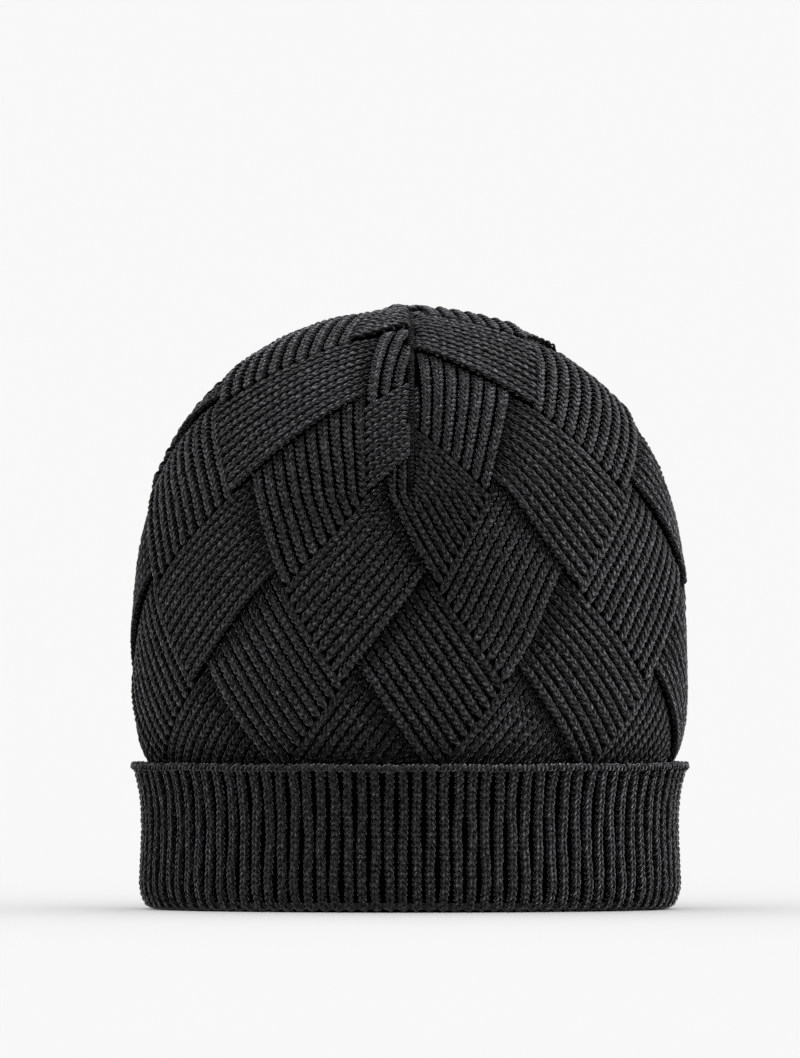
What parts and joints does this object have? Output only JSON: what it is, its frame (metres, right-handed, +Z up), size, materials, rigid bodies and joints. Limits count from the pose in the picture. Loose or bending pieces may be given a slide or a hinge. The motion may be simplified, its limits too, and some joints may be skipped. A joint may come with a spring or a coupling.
{
  "type": "knit beanie",
  "caption": "Close-fitting knit beanie with a basket-weave crown shaped by darts, gathered at the top, and a turned-up ribbed cuff at its open base.",
  "frame": {"origin": "on the floor under the middle of the hat, at the flat of the cuff's fold", "axes": "+Z up to the top of the crown, -Y out of the front, +X to the viewer's right from the front"},
  "size_m": [0.1944, 0.1304, 0.2133],
  "materials": {
    "crown_knit": "charcoal wool-blend yarn, stockinette blocks crossed in a basket weave",
    "rib_knit": "charcoal wool-blend yarn, one-by-one rib",
    "seam_yarn": "charcoal yarn, linked chain",
    "label_satin": "plain off-white polyester satin, blank",
    "label_thread": "fine black polyester thread"
  },
  "bodies": {
    "crown": {"crown_body": "crown_knit", "gore_front_left": "crown_knit", "gore_front_right": "crown_knit", "gore_back_left": "crown_knit", "gore_back_right": "crown_knit", "dart_seam_front": "seam_yarn", "dart_seam_back": "seam_yarn", "dart_seam_left": "seam_yarn", "dart_seam_right": "seam_yarn", "crown_gather": "crown_knit", "back_seam": "seam_yarn", "rib_inner_layer": "rib_knit", "rib_back_seam": "seam_yarn", "label_stitches": "label_thread"},
    "cuff": {"cuff_fold": "rib_knit", "cuff_outer_layer": "rib_knit", "cuff_back_seam": "seam_yarn", "cuff_edge": "rib_knit"},
    "label": {"care_label": "label_satin"}
  },
  "joints": [
    {"name": "cuff_turn_down", "type": "slide", "parent": "cuff", "child": "crown", "axis": [0, 0, 1], "range_m": [0, 0.049]},
    {"name": "label_swing", "type": "hinge", "parent": "crown", "child": "label", "pos_m": [0.0021, 0.0581, 0.091], "axis": [0, 0, -1], "range_deg": [0, 150]}
  ]
}
